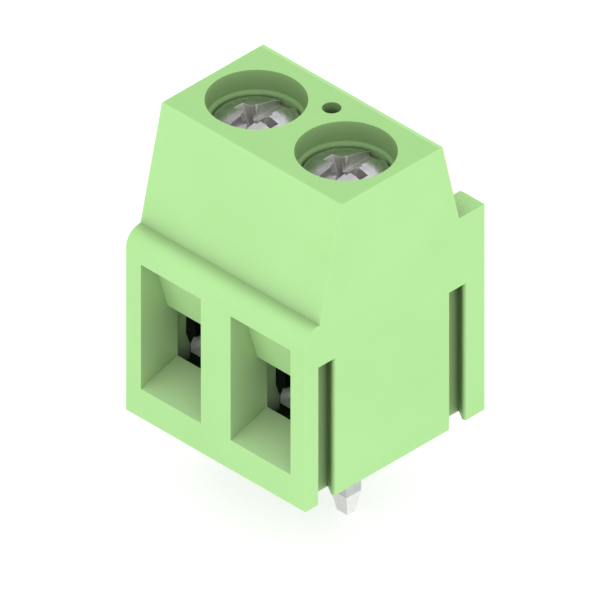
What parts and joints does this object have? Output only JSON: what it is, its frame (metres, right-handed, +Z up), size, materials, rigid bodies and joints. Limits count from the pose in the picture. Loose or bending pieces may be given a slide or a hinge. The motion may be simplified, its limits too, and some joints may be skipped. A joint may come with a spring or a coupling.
{
  "type": "circuit board screw terminal",
  "caption": "Screw terminal block for a circuit board: moulded housing with wire funnels, clamp cages lifted by screws, contact strips and solder pins, slots for joining blocks.",
  "frame": {"origin": "on the board's upper side, midway between the two solder pins", "axes": "+X along the row of poles to the side with the joining slots, -Y to the side the wires enter, +Z up from the board to the screws"},
  "size_m": [0.0106, 0.01, 0.0173],
  "materials": {
    "polyamide": "moulded, fine satin",
    "plated_screw": "zinc plated, turned",
    "plated_cage": "zinc plated, stamped",
    "tinned_strip": "tin plated, matt"
  },
  "bodies": {
    "base": {"housing": "polyamide", "solder_pin_1": "tinned_strip", "solder_pin_2": "tinned_strip"},
    "screw_1": {"clamp_screw_1": "plated_screw"},
    "cage_1": {"clamp_cage_1": "plated_cage"},
    "screw_2": {"clamp_screw_2": "plated_screw"},
    "cage_2": {"clamp_cage_2": "plated_cage"}
  },
  "joints": [
    {"name": "screw_1_turn", "type": "hinge", "parent": "base", "child": "screw_1", "pos_m": [-0.0025, 0, 0.01275], "axis": [0, 0, -1], "range_deg": [0, 1980]},
    {"name": "cage_1_lift", "type": "slide", "parent": "base", "child": "cage_1", "axis": [0, 0, 1], "range_m": [0, 0.00248]},
    {"name": "screw_2_turn", "type": "hinge", "parent": "base", "child": "screw_2", "pos_m": [0.0025, 0, 0.01275], "axis": [0, 0, -1], "range_deg": [0, 1980]},
    {"name": "cage_2_lift", "type": "slide", "parent": "base", "child": "cage_2", "axis": [0, 0, 1], "range_m": [0, 0.00248]}
  ],
  "couplings": [
    {"joint": "screw_1_turn", "follows": "cage_1_lift", "rad_per_m": 13963},
    {"joint": "screw_2_turn", "follows": "cage_2_lift", "rad_per_m": 13963}
  ]
}
